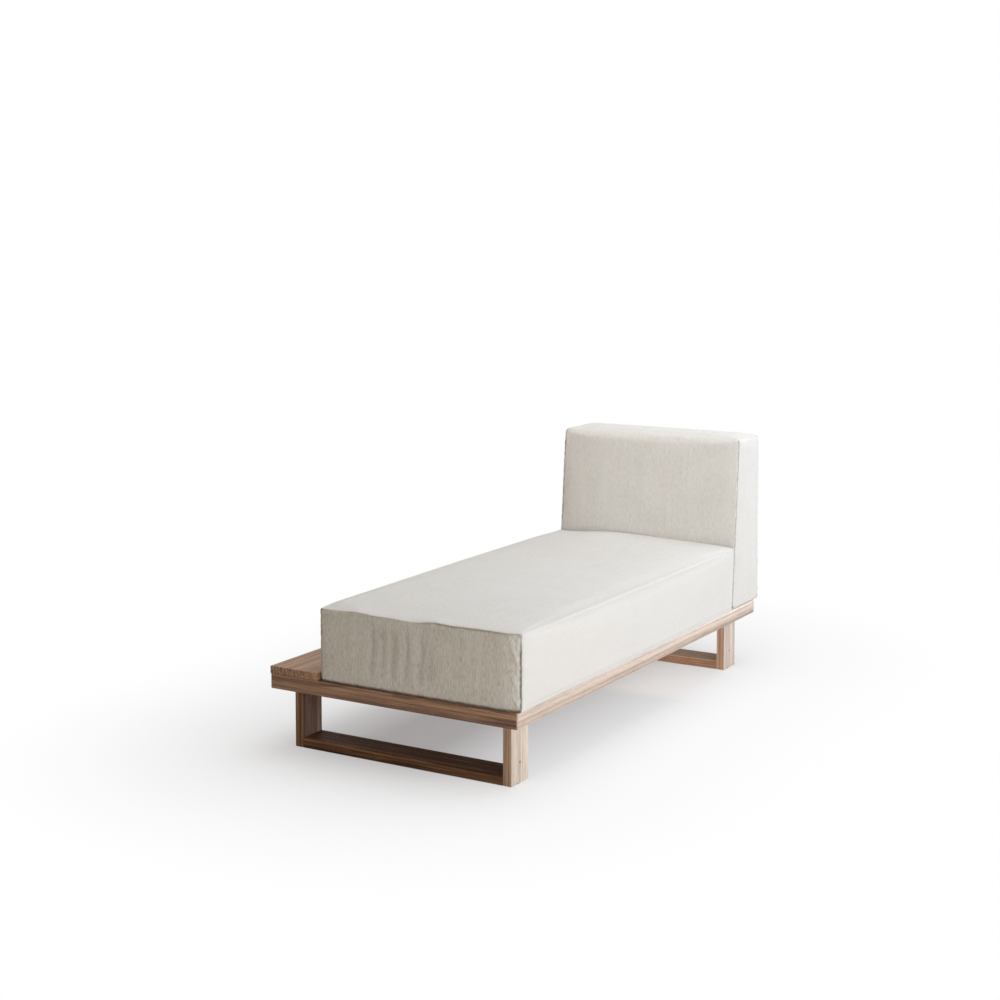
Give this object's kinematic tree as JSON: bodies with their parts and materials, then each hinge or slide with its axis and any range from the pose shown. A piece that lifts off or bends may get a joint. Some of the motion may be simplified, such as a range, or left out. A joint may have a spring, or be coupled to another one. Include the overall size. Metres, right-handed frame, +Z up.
{
  "type": "chaise longue",
  "caption": "Low chaise longue with a hardwood rim on two sled legs, a plank shelf along one side, a loose linen seat cushion and an upholstered backrest at one end.",
  "frame": {"origin": "middle of the footprint, on the floor", "axes": "+Y from the foot end to the backrest, +Z up, +X to the right of a viewer at the foot end; the shelf is on -X"},
  "size_m": [0.8525, 1.7127, 0.8235],
  "materials": {
    "hardwood": "oiled straight-grained hardwood, satin",
    "plywood": "bare plywood inside the backrest",
    "linen": "natural off-white slubbed linen canvas, matt",
    "foam": "firm open-cell upholstery foam",
    "steel": "zinc plated",
    "nylon": "black nylon glide"
  },
  "bodies": {
    "frame": {"front_rail": "hardwood", "rear_rail": "hardwood", "left_rail": "hardwood", "right_rail": "hardwood", "side_shelf": "hardwood", "slat_1": "hardwood", "slat_2": "hardwood", "slat_3": "hardwood", "slat_4": "hardwood", "slat_5": "hardwood", "slat_6": "hardwood", "slat_7": "hardwood", "slat_8": "hardwood", "slat_9": "hardwood", "cross_bearer_front": "hardwood", "cross_bearer_rear": "hardwood", "foot_board_front": "hardwood", "foot_board_rear": "hardwood", "leg_upright_front_left": "hardwood", "leg_upright_front_right": "hardwood", "leg_upright_rear_left": "hardwood", "leg_upright_rear_right": "hardwood", "corner_spline_front_left": "hardwood", "corner_spline_front_right": "hardwood", "corner_spline_rear_left": "hardwood", "corner_spline_rear_right": "hardwood", "loose_tenon_front_left": "hardwood", "loose_tenon_front_right": "hardwood", "loose_tenon_rear_left": "hardwood", "loose_tenon_rear_right": "hardwood", "back_base": "plywood", "back_front_panel": "plywood", "back_top_rail": "plywood", "back_rib_left": "plywood", "back_rib_right": "plywood", "back_cover": "linen", "back_foam": "foam", "leg_screw_front_left_1": "steel", "leg_screw_front_left_2": "steel", "leg_screw_front_right_1": "steel", "leg_screw_front_right_2": "steel", "leg_screw_rear_left_1": "steel", "leg_screw_rear_left_2": "steel", "leg_screw_rear_right_1": "steel", "leg_screw_rear_right_2": "steel", "shelf_screw_1": "steel", "shelf_screw_2": "steel", "shelf_screw_3": "steel", "back_bolt_left": "steel", "back_bolt_right": "steel", "glide_front_left": "nylon", "glide_front_right": "nylon", "glide_rear_left": "nylon", "glide_rear_right": "nylon"},
    "seat": {"seat_cover": "linen", "seat_foam": "foam", "seat_bottom_panel": "linen"}
  },
  "joints": [
    {"name": "seat_lift", "type": "slide", "parent": "frame", "child": "seat", "axis": [0, 0, 1], "range_m": [0, 0.3]}
  ]
}
